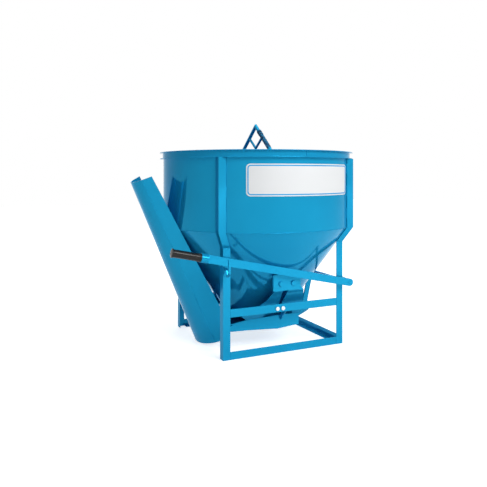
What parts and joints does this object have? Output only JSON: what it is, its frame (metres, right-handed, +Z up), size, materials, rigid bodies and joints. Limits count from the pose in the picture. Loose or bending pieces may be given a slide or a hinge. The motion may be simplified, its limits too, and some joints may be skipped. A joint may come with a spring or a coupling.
{
  "type": "concrete bucket",
  "caption": "Crane concrete bucket: round drum and cone on an angle stand, lever-worked geared jaw gate, discharge trough, fold-up chute and fixed lifting bail.",
  "frame": {"origin": "centre of the stand's base on the ground", "axes": "+X right along the front, with the chute on -X; +Y to the rear; +Z up"},
  "size_m": [1.2661, 1.09, 1.2057],
  "materials": {
    "blue_paint": "gloss",
    "label_white": "gloss",
    "zinc": "satin",
    "black_grip": "matte",
    "sleeve": "matte"
  },
  "bodies": {
    "frame": {"drum_shell": "blue_paint", "hopper_cone": "blue_paint", "rim_ring": "blue_paint", "label_panel": "label_white", "leg_front_left": "blue_paint", "leg_front_right": "blue_paint", "leg_rear_left": "blue_paint", "leg_rear_right": "blue_paint", "strap_front_left": "blue_paint", "strap_front_right": "blue_paint", "strap_rear_left": "blue_paint", "strap_rear_right": "blue_paint", "rail_front": "blue_paint", "rail_right": "blue_paint", "rail_rear": "blue_paint", "cross_bar_front": "blue_paint", "cross_bar_rear": "blue_paint", "hanger_front": "blue_paint", "hanger_rear": "blue_paint", "hanger_bolts": "zinc", "hanger_nuts": "zinc", "trough_floor": "blue_paint", "trough_side_front": "blue_paint", "trough_side_rear": "blue_paint", "trough_end": "blue_paint", "gear_box_front": "blue_paint", "gear_box_rear": "blue_paint", "gate_pins": "blue_paint", "bearing_front": "blue_paint", "bearing_rear": "blue_paint", "bail_bar": "blue_paint", "bail_pads": "blue_paint", "eye_brace": "blue_paint", "bail_sleeve": "sleeve"},
    "lever": {"lever_bar": "blue_paint", "lever_collar": "blue_paint", "lever_grip": "black_grip", "grip_cap": "black_grip", "lever_boss": "blue_paint", "torque_shaft": "blue_paint", "crank_arm": "blue_paint", "crank_pin": "zinc", "rope_hook": "blue_paint"},
    "link": {"drag_link": "blue_paint"},
    "jaw_right": {"jaw_right_cheek_front": "blue_paint", "jaw_right_cheek_rear": "blue_paint", "jaw_right_floor": "blue_paint", "jaw_right_lug": "blue_paint", "jaw_right_pin": "zinc", "jaw_right_gears": "blue_paint"},
    "jaw_left": {"jaw_left_cheek_front": "blue_paint", "jaw_left_cheek_rear": "blue_paint", "jaw_left_floor": "blue_paint", "jaw_left_gears": "blue_paint"},
    "chute": {"chute_trough": "blue_paint", "chute_pins": "blue_paint"}
  },
  "joints": [
    {"name": "lever_turn", "type": "hinge", "parent": "frame", "child": "lever", "pos_m": [0.366, 0, 0.338], "axis": [0, -1, 0], "range_deg": [0, 28]},
    {"name": "jaw_right_turn", "type": "hinge", "parent": "frame", "child": "jaw_right", "pos_m": [0.036, 0, 0.356], "axis": [0, -1, 0], "range_deg": [0, 20.2]},
    {"name": "jaw_left_turn", "type": "hinge", "parent": "frame", "child": "jaw_left", "pos_m": [-0.036, 0, 0.356], "axis": [0, 1, 0], "range_deg": [0, 20.2]},
    {"name": "link_turn", "type": "hinge", "parent": "lever", "child": "link", "pos_m": [0.325, 0, 0.16], "axis": [0, -1, 0], "range_deg": [-45.2, 0]},
    {"name": "chute_turn", "type": "hinge", "parent": "frame", "child": "chute", "pos_m": [-0.268, 0, 0.134], "axis": [0, -1, 0], "range_deg": [0, 66]}
  ],
  "couplings": [
    {"joint": "jaw_right_turn", "follows": "lever_turn", "ratio": 0.718},
    {"joint": "jaw_left_turn", "follows": "lever_turn", "ratio": 0.718},
    {"joint": "link_turn", "follows": "lever_turn", "ratio": -1.609}
  ]
}
